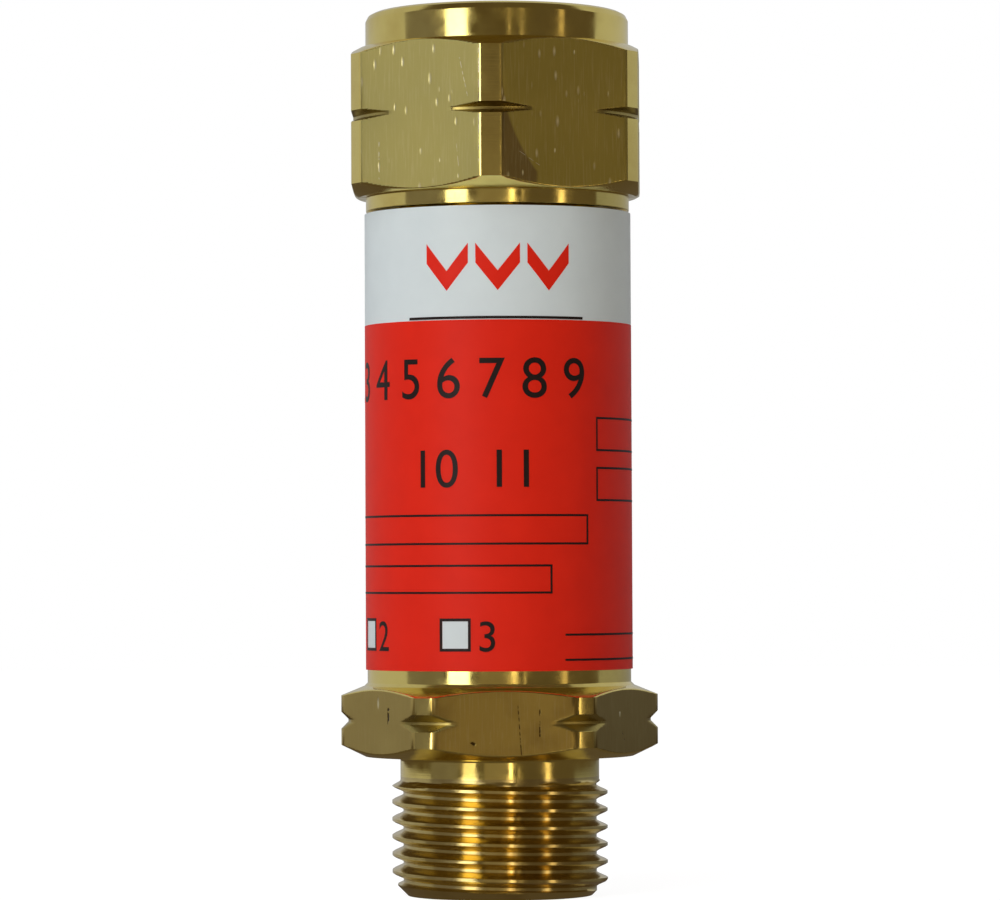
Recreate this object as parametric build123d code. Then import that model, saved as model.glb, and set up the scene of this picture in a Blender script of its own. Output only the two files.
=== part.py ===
from build123d import *
import os

# Gas safety valve for fuel gas, standing on its outlet end, in millimetres.
# Gas enters at the top through the union nut and leaves at the bottom through the threaded end.
# The origin is the centre of the outlet end face, and Z runs up the valve's axis.
# Azimuth 0 is the front of the label, towards -Y, and it grows towards +X.

# Standard connection: parallel pipe thread, 19 threads to the inch, cut left-hand
thread_major_radius = 16.662 / 2
thread_minor_radius = 14.950 / 2

# Spanner size and the turned corners that both hexagons share
across_flats = 22.0
corner_radius = 12.25

# Levels along the axis, counted from the outlet end
thread_top = 8.5
hex_bottom = 10.75
hex_top = 16.2
tube_top = 52.7
nut_bottom = 53.0
nut_top = 68.2

# Housing
tube_radius = 10.2
neck_radius = 7.69
neck_cone_height = 0.35
outlet_bore_radius = 3.5
outlet_cone_radius = 5.75
end_chamfer = 1.2
chamber_radius = 8.0
chamber_floor = 19.0
nipple_bore_radius = 8.5
nipple_bore_floor = 46.0
lower_ledge_radius = 10.4
lower_cone_top = 11.65
upper_cone_bottom = 15.47
upper_cone_radius = 10.45
tube_fillet = 0.25
corner_notch_level = 13.55
corner_notch_half_width = 0.66
corner_notch_radius = 11.7
corner_notch_land = 0.2

# Union nut
nut_turn = -4.2
collar_radius = 10.2
nut_bore_radius = 7.65
nut_relief_radius = 8.6
nut_relief_bottom = 56.6
nut_thread_bottom = 58.4
nut_thread_top = 67.2
nut_mouth_radius = 8.475
nut_notch_level = 59.9
nut_notch_half_width = 0.43
nut_notch_radius = 11.4
nut_notch_land = 0.24
lower_collar_height = 0.93
upper_collar_height = 2.75
ledge_radius = 10.8
ledge_cone_height = 0.78
collar_chamfer = 0.6

# Retaining wire between the nut and the nipple
wire_radius = 0.6
wire_ring_radius = 7.6
wire_ring_level = 54.7
wire_groove_clearance = 0.05
wire_gap = 1.9

# Inlet nipple
nipple_floor = 45.5
end_play = 0.2
side_play = 0.1
stem_radius = 7.55
stem_top = 55.6
nose_radius = 6.9
nose_step = 0.65
nose_top = 58.2
inlet_bore_radius = 3.2
seat_lip_bottom = 44.9
seat_lip_radius = 3.8
strainer_seat = 56.0
strainer_seat_radius = 4.0
strainer_depth = 5.5
strainer_floor_radius = 2.2
strainer_neck_radius = 3.0
strainer_wall = 0.25
strainer_ring_thickness = 0.4
strainer_ring_width = 0.7
strainer_ring_gap = 1.6

# Seals, with their grooves as (inner radius, outer radius, bottom, top)
nipple_seal_groove = (7.3, nipple_bore_radius, 46.8, 48.4)
nose_seal_groove = (5.9, nose_radius, 56.4, 57.4)
cutoff_seal_groove = (3.6, 4.6, 32.6, 33.5)
nose_seal_proud = 0.15
cutoff_seal_proud = 0.35

# Non-return valve
carrier_bottom = 34.8
web_bottom = 36.5
web_top = 38.5
carrier_port_radius = 3.2
carrier_cup_radius = 6.6
carrier_cone_radius = 5.6
guide_radius = 2.3
sliding_clearance = 0.05
valve_lift = 1.2
valve_disc_bottom = 42.4
valve_disc_top = 43.6
valve_disc_radius = 5.4
valve_rim_height = 0.6
valve_stem_radius = 1.5
valve_stem_bottom = 36.3
valve_seal_radius = 4.4
seat_gap = 0.02
gas_hole_count = 4
gas_hole_radius = 1.0
gas_hole_circle = 4.4
valve_spring_radius = 3.0
valve_spring_wire = 0.5

# Thermal cut-off and flame arrestor
base_bottom = 21.0
base_top = 23.0
foot_width = 3.0
foot_inner_radius = 4.2
gasket_thickness = 0.5
upper_gasket_thickness = 0.6
sinter_inner_radius = 5.8
sinter_outer_radius = 7.4
hub_radius = 4.2
hub_top = 27.5
hub_bore_bottom = 23.6
solder_bottom = 25.0
solder_top = 27.0
solder_radius = 2.3
piston_stem_radius = 1.6
piston_stem_bottom = 24.0
piston_head_bottom = 31.5
piston_head_top = 33.5
piston_head_radius = 5.2
cutoff_spring_radius = 3.3
cutoff_spring_wire = 0.7

# Label: a film round the tube, and the inks on it
label_bottom = 17.45
label_top = 52.65
film_thickness = 0.07
red_thickness = 0.06
black_thickness = 0.05
red_top = 44.0
label_gap_degrees = 2
tick_box = 2.5
tick_line = 0.2
line_width = 0.16
tick_box_level = 18.95
tick_box_azimuths = (-128, -74.5, -20.9)
chevron_level = 46.2
chevron_width = 3.4
chevron_height = 3.6
chevron_stroke = 1.5
chevron_azimuths = (-24, -2, 20)
rule_gap = 0.06
rule_azimuths = (-42.5, 36.4)
# Blank lines as (first azimuth, last azimuth, level)
write_on_lines = (
    (-120, 39, 27.0), (-120, 21, 23.3), (44, 96, 34.1), (44, 96, 30.3), (27, 88, 20.1), (27, 88, 18.2),
)


def turned(*outline):
    # A solid of revolution, from its outline as (radius, level) corners
    corners = [(radius, 0, level) for radius, level in outline]
    return revolve(make_face(Polyline(*corners, close=True)), Axis.Z)


def tube(inner_radius, outer_radius, bottom, top):
    # A plain hollow cylinder, or a disc where the inner radius is 0
    return turned((inner_radius, bottom), (outer_radius, bottom), (outer_radius, top), (inner_radius, top))


def hexagon(turn):
    # The bar stock that the flats are cut to, with a flat towards -Y when the turn is 0
    outline = RegularPolygon(radius=across_flats / 2, side_count=6, major_radius=False, rotation=turn)
    return extrude(outline, amount=nut_top)


def seal_ring(inner_radius, outer_radius, bottom, top, free_corner):
    # A rubber ring pressed square in its groove, with its outer corners still free
    return turned(
        (inner_radius, bottom), (outer_radius - free_corner, bottom),
        (outer_radius, bottom + free_corner), (outer_radius, top - free_corner),
        (outer_radius - free_corner, top), (inner_radius, top),
    )


def wire_ring(section_radius):
    # A ring of wire, or the groove for it, with a section of six sides
    section = RegularPolygon(radius=section_radius, side_count=6, major_radius=False)
    return revolve(Plane.XZ * Pos(wire_ring_radius, wire_ring_level) * section, Axis.Z)


def coil_spring(coil_radius, wire_diameter, bottom, top, turns):
    # A left-hand compression spring of square wire, with both ends ground flat
    pitch = (top - bottom) / turns
    overrun = wire_diameter / 4
    height = top - bottom + 2 * overrun
    path = Helix(pitch, height, coil_radius, center=(0, 0, bottom - overrun), lefthand=True)
    start = Plane(origin=path @ 0, z_dir=path % 0, x_dir=(1, 0, 0))
    wire = sweep(start * Rectangle(wire_diameter, wire_diameter), path, is_frenet=True)
    return wire & tube(0, coil_radius + wire_diameter, bottom, top)


def around_axis(shape, azimuth):
    # Turns a shape made at the front to another azimuth
    return Rot(0, 0, azimuth) * shape


def notch(level, half_width, bottom_radius, land):
    # The outline of a groove turned round the corners of a hexagon
    return [
        (corner_radius, level - half_width), (bottom_radius, level - land / 2),
        (bottom_radius, level + land / 2), (corner_radius, level + half_width),
    ]


def make_housing():
    # One turned brass bar: tube, hexagon, neck and threaded end. The male thread is left at its major size.
    body = turned(
        (outlet_cone_radius, 0), (thread_major_radius - end_chamfer, 0),
        (thread_major_radius, end_chamfer), (thread_major_radius, thread_top),
        (neck_radius, thread_top + neck_cone_height), (neck_radius, hex_bottom),
        (lower_ledge_radius, hex_bottom), (corner_radius, lower_cone_top),
        *notch(corner_notch_level, corner_notch_half_width, corner_notch_radius, corner_notch_land),
        (corner_radius, upper_cone_bottom), (upper_cone_radius, hex_top),
        (tube_radius, hex_top + tube_fillet),
        (tube_radius, tube_top), (nipple_bore_radius, tube_top),
        (nipple_bore_radius, nipple_bore_floor), (chamber_radius, nipple_bore_floor),
        (chamber_radius, chamber_floor), (outlet_bore_radius, chamber_floor),
        (outlet_bore_radius, outlet_cone_radius - outlet_bore_radius),
    )
    return body & hexagon(0)


def make_union_nut():
    # Hexagon nut with a collar at each end. The female thread is left at its minor size.
    lower_ledge = nut_bottom + lower_collar_height
    upper_ledge = nut_top - upper_collar_height
    nut = turned(
        (nut_bore_radius, nut_bottom), (collar_radius, nut_bottom), (collar_radius, lower_ledge),
        (ledge_radius, lower_ledge), (corner_radius, lower_ledge + ledge_cone_height),
        *notch(nut_notch_level, nut_notch_half_width, nut_notch_radius, nut_notch_land),
        (corner_radius, upper_ledge - ledge_cone_height), (ledge_radius, upper_ledge),
        (collar_radius, upper_ledge), (collar_radius, nut_top - collar_chamfer),
        (collar_radius - collar_chamfer / 3, nut_top - collar_chamfer / 3),
        (collar_radius - collar_chamfer, nut_top), (nut_mouth_radius, nut_top),
        (thread_minor_radius, nut_thread_top), (thread_minor_radius, nut_thread_bottom),
        (nut_relief_radius, nut_thread_bottom), (nut_relief_radius, nut_relief_bottom),
        (nut_bore_radius, nut_relief_bottom),
    )
    return (nut & hexagon(30 + nut_turn)) - wire_ring(wire_radius + wire_groove_clearance)


def make_nut_retaining_ring():
    # Split wire ring that holds the nut on the nipple and lets it turn
    gap = Pos(0, wire_ring_radius, wire_ring_level) * Box(wire_gap, wire_gap, wire_gap)
    return wire_ring(wire_radius) - gap


def make_inlet_nipple():
    # Screwed into the tube's top. It carries the nut, the nose seal, the strainer and the valve seat.
    shoulder = nipple_bore_floor + end_play
    nipple = turned(
        (inlet_bore_radius, seat_lip_bottom), (seat_lip_radius, seat_lip_bottom),
        (seat_lip_radius, nipple_floor), (chamber_radius - side_play, nipple_floor),
        (chamber_radius - side_play, shoulder), (nipple_bore_radius, shoulder),
        (nipple_bore_radius, tube_top), (stem_radius, tube_top), (stem_radius, stem_top),
        (nose_radius, stem_top + nose_step), (nose_radius, nose_top - nose_step),
        (nose_radius - nose_step, nose_top),
        (strainer_seat_radius, nose_top), (strainer_seat_radius, strainer_seat),
        (inlet_bore_radius, strainer_seat),
    )
    for groove in (nipple_seal_groove, nose_seal_groove):
        inner, outer, bottom, top = groove
        nipple -= tube(inner, outer + side_play, bottom, top)
    return nipple - wire_ring(wire_radius + wire_groove_clearance)


def make_nose_o_ring():
    inner, outer, bottom, top = nose_seal_groove
    return seal_ring(inner, outer + nose_seal_proud, bottom, top, free_corner=0.3)


def make_nipple_o_ring():
    return tube(*nipple_seal_groove)


def make_cutoff_o_ring():
    # Stands proud of the piston head, to meet the seat when the piston rises
    inner, outer, bottom, top = cutoff_seal_groove
    return tube(inner, outer, bottom, top + cutoff_seal_proud)


def make_inlet_strainer():
    # Gauze cup that hangs by its rim in the nose
    rim_top = strainer_seat + strainer_wall
    rim_radius = strainer_seat_radius - sliding_clearance
    floor = strainer_seat - strainer_depth
    return turned(
        (0, floor), (strainer_floor_radius, floor), (strainer_neck_radius, strainer_seat),
        (rim_radius, strainer_seat), (rim_radius, rim_top), (strainer_neck_radius - strainer_wall, rim_top),
        (strainer_floor_radius - strainer_wall, floor + strainer_wall), (0, floor + strainer_wall),
    )


def make_strainer_ring():
    # Split spring ring that grips the nose's bore over the strainer's rim
    bottom = strainer_seat + strainer_wall
    inner_radius = strainer_seat_radius - strainer_ring_width
    ring = tube(inner_radius, strainer_seat_radius, bottom, bottom + strainer_ring_thickness)
    gap = Box(strainer_ring_gap, 2 * strainer_ring_gap, 2 * strainer_ring_gap)
    return ring - Pos(0, -strainer_seat_radius, bottom) * gap


def make_valve_carrier():
    # Cup that guides the valve plate. The cut-off piston closes against its lower face.
    guide_top = valve_disc_bottom - valve_lift - sliding_clearance
    guide_bore_radius = valve_stem_radius + sliding_clearance
    outer_radius = chamber_radius - sliding_clearance
    carrier = turned(
        (carrier_port_radius, carrier_bottom), (outer_radius, carrier_bottom), (outer_radius, nipple_floor),
        (carrier_cup_radius, nipple_floor), (carrier_cup_radius, web_top), (guide_radius, web_top),
        (guide_radius, guide_top), (guide_bore_radius, guide_top), (guide_bore_radius, web_bottom),
        (carrier_cone_radius, web_bottom),
    )
    hole = Pos(gas_hole_circle, 0, web_bottom) * Cylinder(gas_hole_radius, 2 * (web_top - web_bottom))
    return carrier - [around_axis(hole, index * 360 / gas_hole_count) for index in range(gas_hole_count)]


def make_valve_plate():
    # Disc and stem of the non-return valve, with a rim round its seal
    rim_top = valve_disc_top + valve_rim_height
    return turned(
        (0, valve_stem_bottom), (valve_stem_radius, valve_stem_bottom),
        (valve_stem_radius, valve_disc_bottom), (valve_disc_radius, valve_disc_bottom),
        (valve_disc_radius, rim_top), (valve_seal_radius, rim_top),
        (valve_seal_radius, valve_disc_top), (0, valve_disc_top),
    )


def make_valve_seal():
    return tube(0, valve_seal_radius, valve_disc_top, seat_lip_bottom - seat_gap)


def make_valve_spring():
    return coil_spring(valve_spring_radius, valve_spring_wire, web_top, valve_disc_bottom, turns=3)


def make_cutoff_spring():
    return coil_spring(cutoff_spring_radius, cutoff_spring_wire, hub_top, piston_head_bottom, turns=2.5)


def make_cutoff_piston():
    # Held down by the solder. It shuts the gas off when the solder melts and the spring lifts it.
    piston = turned(
        (0, piston_stem_bottom), (piston_stem_radius, piston_stem_bottom),
        (piston_stem_radius, piston_head_bottom), (piston_head_radius, piston_head_bottom),
        (piston_head_radius, piston_head_top), (0, piston_head_top),
    )
    return piston - tube(*cutoff_seal_groove)


def make_fusible_ring():
    return tube(piston_stem_radius, solder_radius, solder_bottom, solder_top)


def make_flame_arrestor():
    # Sintered tube that the gas has to pass through from the inside
    return tube(
        sinter_inner_radius, sinter_outer_radius, base_top + gasket_thickness,
        carrier_bottom - upper_gasket_thickness,
    )


def make_arrestor_gasket_upper():
    return tube(
        sinter_inner_radius, sinter_outer_radius, carrier_bottom - upper_gasket_thickness, carrier_bottom
    )


def make_arrestor_gasket_lower():
    return tube(sinter_inner_radius, sinter_outer_radius, base_top, base_top + gasket_thickness)


def make_arrestor_carrier():
    # Base disc on three feet, with a hub that holds the piston's stem and its solder
    bore_radius = piston_stem_radius + sliding_clearance
    carrier = turned(
        (0, base_bottom), (sinter_outer_radius, base_bottom), (sinter_outer_radius, base_top),
        (hub_radius, base_top), (hub_radius, hub_top), (solder_radius, hub_top),
        (solder_radius, solder_bottom), (bore_radius, solder_bottom),
        (bore_radius, hub_bore_bottom), (0, hub_bore_bottom),
    )
    ring = tube(foot_inner_radius, chamber_radius - side_play, chamber_floor, base_bottom)
    foot = Pos(chamber_radius / 2, 0, base_bottom) * Box(chamber_radius, foot_width, chamber_floor) & ring
    for index in range(3):
        carrier += around_axis(foot, index * 120)
    return carrier


def label_layer(inner_radius, thickness, bottom, top):
    # A layer round the tube that stops short of closing at the back
    face = make_face(
        Polyline(
            (0, -inner_radius, bottom), (0, -inner_radius - thickness, bottom),
            (0, -inner_radius - thickness, top), (0, -inner_radius, top), close=True,
        )
    )
    return around_axis(revolve(face, Axis.Z, 360 - label_gap_degrees), 180 + label_gap_degrees / 2)


def printed_line(first_azimuth, last_azimuth, bottom, radius):
    # A thin black line that follows the tube, from one azimuth to the next
    face = make_face(
        Polyline(
            (0, -radius, bottom), (0, -radius - black_thickness, bottom),
            (0, -radius - black_thickness, bottom + line_width), (0, -radius, bottom + line_width),
            close=True,
        )
    )
    return around_axis(revolve(face, Axis.Z, last_azimuth - first_azimuth), first_azimuth)


def make_label_film():
    return label_layer(tube_radius, film_thickness, label_bottom, label_top)


def printed_shape(outline, azimuth, radius, thickness):
    # A printed shape, drawn flat as (across, level) points and laid on the tube at an azimuth
    front = [(across, -radius - 1, level) for across, level in outline]
    flat = extrude(make_face(Polyline(*front, close=True)), chevron_width, dir=(0, 1, 0))
    ink = tube(radius, radius + thickness, label_bottom, label_top)
    return around_axis(flat & ink, azimuth)


def square_outline(size):
    # A square on the level of the tick boxes
    half = size / 2
    middle = tick_box_level + tick_box / 2
    return [(-half, middle - half), (half, middle - half), (half, middle + half), (-half, middle + half)]


def chevron(level, width, height, stroke):
    # A downward chevron that shows the way of the gas
    half = width / 2
    return [
        (-half, level + height), (0, level + stroke), (half, level + height), (half, level + height - stroke),
        (0, level), (-half, level + height - stroke),
    ]


def make_label_red_field():
    # The red ground with a window for each tick box, and three chevrons on the white band
    film_radius = tube_radius + film_thickness
    field = label_layer(film_radius, red_thickness, label_bottom, red_top)
    window = tick_box - 2 * tick_line
    for azimuth in tick_box_azimuths:
        opening = Pos(0, -film_radius, tick_box_level + tick_box / 2) * Box(window, window, window)
        field -= around_axis(opening, azimuth)
    outline = chevron(chevron_level, chevron_width, chevron_height, chevron_stroke)
    for azimuth in chevron_azimuths:
        field += printed_shape(outline, azimuth, film_radius, red_thickness)
    return field


def make_label_black_marks():
    # Blank write-on lines, the rule below the chevrons and the outlines of the tick boxes
    film_radius = tube_radius + film_thickness
    red_radius = film_radius + red_thickness
    marks = [printed_line(*rule_azimuths, red_top + rule_gap, film_radius)]
    for first, last, level in write_on_lines:
        marks.append(printed_line(first, last, level, red_radius))
    frame = printed_shape(square_outline(tick_box), 0, red_radius, black_thickness)
    frame -= printed_shape(square_outline(tick_box - 2 * tick_line), 0, red_radius, black_thickness)
    marks += [around_axis(frame, azimuth) for azimuth in tick_box_azimuths]
    return Compound(children=[solid for mark in marks for solid in mark.solids()])


makers = {
    "housing": make_housing,
    "union_nut": make_union_nut,
    "nut_retaining_ring": make_nut_retaining_ring,
    "inlet_nipple": make_inlet_nipple,
    "nose_o_ring": make_nose_o_ring,
    "nipple_o_ring": make_nipple_o_ring,
    "inlet_strainer": make_inlet_strainer,
    "strainer_ring": make_strainer_ring,
    "valve_carrier": make_valve_carrier,
    "valve_plate": make_valve_plate,
    "valve_seal": make_valve_seal,
    "valve_spring": make_valve_spring,
    "cutoff_piston": make_cutoff_piston,
    "cutoff_o_ring": make_cutoff_o_ring,
    "cutoff_spring": make_cutoff_spring,
    "fusible_ring": make_fusible_ring,
    "flame_arrestor": make_flame_arrestor,
    "arrestor_gasket_upper": make_arrestor_gasket_upper,
    "arrestor_gasket_lower": make_arrestor_gasket_lower,
    "arrestor_carrier": make_arrestor_carrier,
    "label_film": make_label_film,
    "label_red_field": make_label_red_field,
    "label_black_marks": make_label_black_marks,
}

os.makedirs("parts", exist_ok=True)
for node, make in makers.items():
    export_step(make(), f"parts/{node}.step")
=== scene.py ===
import bpy
import bmesh
import math
from functools import partial
from mathutils import Matrix, Vector


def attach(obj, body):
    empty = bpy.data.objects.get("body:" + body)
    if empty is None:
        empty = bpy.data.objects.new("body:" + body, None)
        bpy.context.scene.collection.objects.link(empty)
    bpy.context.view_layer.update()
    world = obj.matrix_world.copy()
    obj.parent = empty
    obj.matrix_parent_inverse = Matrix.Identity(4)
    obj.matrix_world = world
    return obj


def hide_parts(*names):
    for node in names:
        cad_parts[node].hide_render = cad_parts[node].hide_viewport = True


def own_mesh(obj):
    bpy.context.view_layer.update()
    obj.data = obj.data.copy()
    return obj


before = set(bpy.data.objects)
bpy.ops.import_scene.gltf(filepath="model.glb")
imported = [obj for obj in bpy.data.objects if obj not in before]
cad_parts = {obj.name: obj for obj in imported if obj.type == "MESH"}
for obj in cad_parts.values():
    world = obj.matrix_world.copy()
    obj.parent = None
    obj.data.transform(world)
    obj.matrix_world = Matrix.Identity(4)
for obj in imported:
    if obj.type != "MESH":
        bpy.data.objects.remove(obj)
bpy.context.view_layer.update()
mm = 0.001

# Camera: the photo's view, a long lens a little below the middle of the valve
camera = {
    "azimuth": -2.0,  # degrees to the left of the label's front
    "distance": 372 * mm,
    "height": 24.7 * mm,
    "aimLevel": 34.4 * mm,
    "aimAcross": 0.12 * mm,
    "lens": 172.8,
    "sensor": 36,
    "roll": -0.25,
    "nearest": 0.01,
    "farthest": 20,
}

# Studio: pale floor and backdrop, a soft key on the left, dim fills, narrow strips and a soft overhead
studio = {
    "floorRadius": 2.0,
    "floorSides": 96,
    "floorColour": "F4F4F4",
    "floorWhite": 1.25,  # what the camera sees of it, beside its shaded colour
    "floorWhiteShare": 0.75,
    "backdropRadius": 0.9,
    "backdropBottom": -0.06,
    "backdropTop": 1.4,
    "backdropSteps": 48,
    "backdropLeft": 89,  # where the card starts on each side, in degrees from the front
    "backdropRight": 94,
    "backdropColour": "FBFCFF",
    "backdropInMetal": 0.5,
    "backdropLow": 0.18,  # its right side gets darker towards the floor
    "backdropHigh": 0.5,
    "fadeBottom": -0.05,  # where that starts and ends, and how far it reaches across
    "fadeTop": 0.2,
    "fadeAcross": 0.4,
    "roomColour": "7C6E5C",
    "roomStrength": 0.5,
    "stripDistance": 0.7,
}
# Each strip as (azimuth, width in degrees, bottom, top, radiance, colour), with heights in metres
strips = [
    (-37.5, 19, -0.012, 0.6, 3.6, "FFFFFF"),
    (-37.5, 15, -0.35, -0.012, 1.3, "FFF0D8"),
    (-70, 38, -0.35, 0.6, 0.12, "D9E2FF"),
    (-6, 28, -0.35, 0.13, 0.12, "FFF0D8"),
    (10.6, 3.8, -0.35, 0.08, 3.2, "FFE9C4"),
    (9, 1.0, 0.08, 0.5, 1.0, "FFE9C4"),
    (20, 1.4, -0.1, 0.5, 0.8, "FFE9C4"),
    (55.2, 6.0, -0.35, 0.04, 1.6, "FFE6C0"),
    (56.5, 5.0, 0.04, 0.4, 0.55, "FFE3B8"),
]
overhead = {
    "place": (-0.3, -0.5, 0.62),
    "target": (0, 0, 0.03),
    "size": 0.6,
    "radiance": 1.8,
    "colour": "FCFDFF",
}


def linear(hexColour, alpha=1.0):
    # An sRGB hex colour as the linear colour that the nodes take
    parts = [int(hexColour[i:i + 2], 16) / 255 for i in (0, 2, 4)]
    return [p / 12.92 if p <= 0.04045 else ((p + 0.055) / 1.055) ** 2.4 for p in parts] + [alpha]


def addNode(tree, kind, settings=None, inputs=None):
    # Adds a node, gives it its settings, and sets or links its inputs
    node = tree.nodes.new(kind)
    for name, value in (settings or {}).items():
        setattr(node, name, value)
    for name, value in (inputs or {}).items():
        if isinstance(value, bpy.types.NodeSocket):
            tree.links.new(value, node.inputs[name])
        else:
            node.inputs[name].default_value = value
    return node


def maths(tree, operation, *values, clamp=False):
    # The result of a maths node on numbers or sockets
    settings = {"operation": operation, "use_clamp": clamp}
    return addNode(tree, "ShaderNodeMath", settings, dict(enumerate(values))).outputs[0]


def vectorMaths(tree, operation, first, second, output="Vector"):
    # The same for vectors. A dot product and a distance come out as Value.
    node = addNode(tree, "ShaderNodeVectorMath", {"operation": operation}, {0: first, 1: second})
    return node.outputs[output]


def ramp(tree, value, fromLow, fromHigh, low=0.0, high=1.0, curve="LINEAR"):
    # Carries a value from one range to another, and holds it at both ends
    return addNode(tree, "ShaderNodeMapRange", {"interpolation_type": curve}, {
        "Value": value, "From Min": fromLow, "From Max": fromHigh, "To Min": low, "To Max": high,
    }).outputs[0]


def separate(tree, vector):
    return addNode(tree, "ShaderNodeSeparateXYZ", None, {0: vector}).outputs


def noise(tree, point, scale, detail, roughness=0.5):
    return addNode(tree, "ShaderNodeTexNoise", None, {
        "Vector": point, "Scale": scale, "Detail": detail, "Roughness": roughness,
    }).outputs["Fac"]


def stretched(tree, point, along):
    # Coordinates that draw a texture out along the axis
    return addNode(tree, "ShaderNodeMapping", None, {"Vector": point, "Scale": (1, 1, along)}).outputs[0]


def mixColour(tree, share, first, second):
    mixed = addNode(tree, "ShaderNodeMix", {"data_type": "RGBA"}, {0: share, 6: first, 7: second})
    return mixed.outputs[2]


def bump(tree, height, strength, depth, inward=False, inputs=None):
    # A normal for relief of so many millimetres
    return addNode(tree, "ShaderNodeBump", {"invert": inward}, {
        "Strength": strength, "Distance": depth * mm, "Height": height, **(inputs or {}),
    }).outputs[0]


def emission(tree, colour, strength, kind="ShaderNodeEmission"):
    return addNode(tree, kind, None, {"Color": linear(colour), "Strength": strength}).outputs[0]


def forCamera(tree, other, seen, share=1.0):
    # One shader for the camera, and another for what lights and reflects
    path = addNode(tree, "ShaderNodeLightPath")
    share = maths(tree, "MULTIPLY", path.outputs["Is Camera Ray"], share)
    return addNode(tree, "ShaderNodeMixShader", None, {0: share, 1: other, 2: seen}).outputs[0]


def setSurface(tree, shader):
    addNode(tree, "ShaderNodeOutputMaterial", None, {"Surface": shader})


def principled(tree, colour, metallic, roughness, normal, others=None):
    # The finished surface of a material
    shader = addNode(tree, "ShaderNodeBsdfPrincipled", None, {
        "Base Color": colour, "Metallic": metallic, "Roughness": roughness, "Normal": normal,
        **(others or {}),
    })
    setSurface(tree, shader.outputs[0])


def newTree(name):
    # A material with an empty node tree
    material = bpy.data.materials.new(name)
    material.use_nodes = True
    material.node_tree.nodes.clear()
    return material, material.node_tree


def aimed(obj, place, target, roll=0.0):
    # Points a camera or a lamp at a target
    direction = Vector(target) - Vector(place)
    turn = direction.to_track_quat("-Z", "Y").to_matrix().to_4x4()
    roll = Matrix.Rotation(math.radians(roll), 4, "Z")
    obj.matrix_world = Matrix.Translation(Vector(place)) @ turn @ roll
    bpy.context.scene.collection.objects.link(obj)
    return obj


def onCircle(azimuth, radius, level):
    # A point round the axis, with azimuth 0 at the front and growing to the right
    a = math.radians(azimuth)
    return Vector((math.sin(a) * radius, -math.cos(a) * radius, level))


print("camera")
cameraData = bpy.data.cameras.new("photoCamera")
cameraData.lens = camera["lens"]
cameraData.sensor_width = camera["sensor"]
cameraData.clip_start = camera["nearest"]
cameraData.clip_end = camera["farthest"]
eye = onCircle(camera["azimuth"], camera["distance"], camera["height"])
photoCamera = aimed(
    bpy.data.objects.new("photoCamera", cameraData), eye,
    (camera["aimAcross"], 0, camera["aimLevel"]), camera["roll"],
)
bpy.context.scene.camera = photoCamera
bpy.context.scene.view_settings.view_transform = "Standard"


print("studio")


def makeFloor():
    # Pale matt board. The camera sees it nearly white, and it keeps the shadow.
    mesh = bpy.data.meshes.new("floor")
    ring = bmesh.new()
    bmesh.ops.create_circle(
        ring, cap_ends=True, segments=studio["floorSides"], radius=studio["floorRadius"],
    )
    ring.to_mesh(mesh)
    ring.free()
    floor = bpy.data.objects.new("floor", mesh)
    bpy.context.scene.collection.objects.link(floor)
    floor.visible_glossy = False
    floor.visible_shadow = False
    material, tree = newTree("paleBoard")
    matt = addNode(tree, "ShaderNodeBsdfDiffuse", None, {"Color": linear(studio["floorColour"])})
    white = emission(tree, "FFFFFF", studio["floorWhite"])
    setSurface(tree, forCamera(tree, matt.outputs[0], white, studio["floorWhiteShare"]))
    mesh.materials.append(material)


def makeBackdrop():
    # Curved white card behind the valve, which the sides of the metal reflect
    mesh = bpy.data.meshes.new("backdrop")
    card = bmesh.new()
    steps = studio["backdropSteps"]
    reach = 360 - studio["backdropLeft"] - studio["backdropRight"]
    rows = []
    for i in range(steps + 1):
        azimuth = studio["backdropRight"] + reach * i / steps
        rows.append([
            card.verts.new(onCircle(azimuth, studio["backdropRadius"], level))
            for level in (studio["backdropBottom"], studio["backdropTop"])
        ])
    for left, right in zip(rows, rows[1:]):
        card.faces.new((left[0], right[0], right[1], left[1]))
    card.to_mesh(mesh)
    card.free()
    backdrop = bpy.data.objects.new("backdrop", mesh)
    bpy.context.scene.collection.objects.link(backdrop)
    material, tree = newTree("whiteCard")
    place = separate(tree, addNode(tree, "ShaderNodeTexCoord").outputs["Object"])
    right = ramp(
        tree, place[2], studio["fadeBottom"], studio["fadeTop"],
        studio["backdropLow"], studio["backdropHigh"],
    )
    side = ramp(tree, place[0], -studio["fadeAcross"], studio["fadeAcross"])
    strength = addNode(tree, "ShaderNodeMix", {"data_type": "FLOAT"}, {
        0: side, 2: studio["backdropInMetal"], 3: right,
    }).outputs[0]
    inMetal = emission(tree, studio["backdropColour"], strength)
    setSurface(tree, forCamera(tree, inMetal, emission(tree, "FFFFFF", 1.0)))
    mesh.materials.append(material)


def makeRoom():
    # White where the camera sees past the backdrop, and a dim warm room for everything else
    world = bpy.data.worlds.new("room")
    bpy.context.scene.world = world
    world.use_nodes = True
    tree = world.node_tree
    tree.nodes.clear()
    seen = emission(tree, "FFFFFF", 1.0, "ShaderNodeBackground")
    room = emission(tree, studio["roomColour"], studio["roomStrength"], "ShaderNodeBackground")
    addNode(tree, "ShaderNodeOutputWorld", None, {"Surface": forCamera(tree, room, seen)})


def makeLamp(name, place, target, width, height, radiance, colour):
    # A soft box of a given brightness, however large it is
    data = bpy.data.lights.new(name, "AREA")
    data.shape = "RECTANGLE"
    data.size = width
    data.size_y = height
    data.energy = radiance * math.pi * width * height
    data.color = linear(colour)[:3]
    lamp = aimed(bpy.data.objects.new(name, data), place, target)
    lamp.visible_camera = False
    return lamp


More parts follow.
